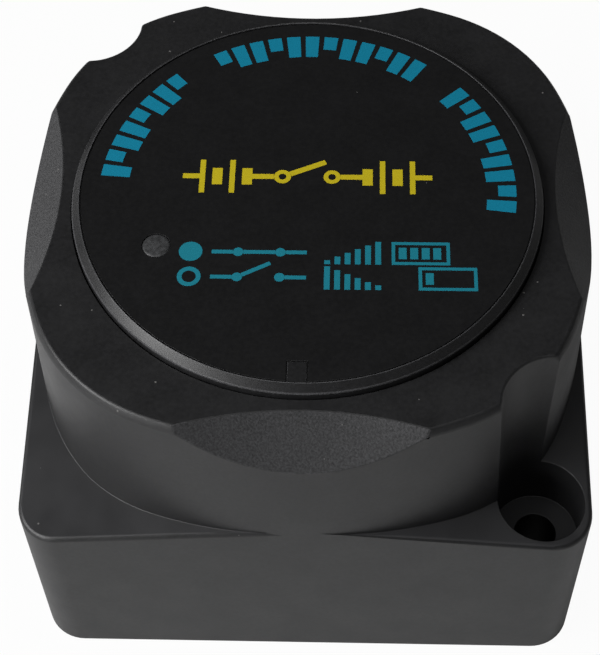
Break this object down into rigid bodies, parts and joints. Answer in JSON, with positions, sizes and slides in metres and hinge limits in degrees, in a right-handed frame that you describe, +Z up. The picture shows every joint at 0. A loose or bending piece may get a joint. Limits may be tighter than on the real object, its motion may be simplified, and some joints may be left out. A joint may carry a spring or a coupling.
{
  "type": "battery isolator relay",
  "caption": "Square-based black relay with a round capped top and indicator, terminal studs in an open bay underneath, and a coil-driven contact bridge inside.",
  "frame": {"origin": "centre of the base's bottom rim, the face that lies on the mounting surface", "axes": "+Z up through the capped top, -Y towards the front, the side with the label's key tab, +X to the right"},
  "size_m": [0.068, 0.068, 0.0519],
  "materials": {
    "housing_plastic": "fine spark-eroded matt",
    "cap_plastic": "satin",
    "label_film": "satin printed film",
    "window_plastic": "frosted",
    "lamp_epoxy": "clear tinted",
    "board_laminate": "solder mask",
    "chip_epoxy": "moulded",
    "can_aluminium": "drawn",
    "bobbin_nylon": "natural",
    "winding_copper": "enamelled wire",
    "soft_iron": "plain",
    "plated_steel": "zinc plated",
    "spring_steel": "drawn",
    "contact_copper": "turned",
    "contact_silver": "satin",
    "strap_brass": "rolled",
    "deck_plastic": "glass filled",
    "black_rubber": "moulded"
  },
  "bodies": {
    "relay_body": {"housing": "housing_plastic", "top_cap": "cap_plastic", "label_disc": "label_film", "indicator_window": "window_plastic", "status_lamp": "lamp_epoxy", "control_board": "board_laminate", "board_screws": "plated_steel", "voltage_monitor_chip": "chip_epoxy", "coil_driver_transistor": "chip_epoxy", "flyback_diode": "chip_epoxy", "smoothing_capacitors": "can_aluminium", "chip_resistors": "chip_epoxy", "coil_bobbin": "bobbin_nylon", "coil_winding": "winding_copper", "coil_pins": "plated_steel", "yoke_frame": "plated_steel", "yoke_plate": "plated_steel", "yoke_screws": "plated_steel", "fixed_core": "soft_iron", "plunger_guide": "strap_brass", "terminal_stud_left": "contact_copper", "terminal_stud_right": "contact_copper", "fixed_contact_tips": "contact_silver", "sense_straps": "strap_brass", "contact_deck": "deck_plastic", "deck_screws": "plated_steel", "deck_gasket": "black_rubber", "flat_washers": "plated_steel", "spring_washers": "spring_steel", "terminal_nuts": "plated_steel", "earth_wire_gland": "black_rubber", "return_spring": "spring_steel"},
    "armature": {"plunger": "soft_iron", "push_rod": "spring_steel", "contact_bridge": "contact_copper", "moving_contact_tips": "contact_silver", "bridge_bush": "bobbin_nylon", "bridge_washer": "bobbin_nylon", "rod_clip": "spring_steel", "contact_spring": "spring_steel"}
  },
  "joints": [
    {"name": "armature_slide", "type": "slide", "parent": "relay_body", "child": "armature", "axis": [0, 0, -1], "range_m": [0, 0.00195], "stiffness_N_per_m": 1500, "springref_m": -0.003, "deforming": ["return_spring"]}
  ]
}
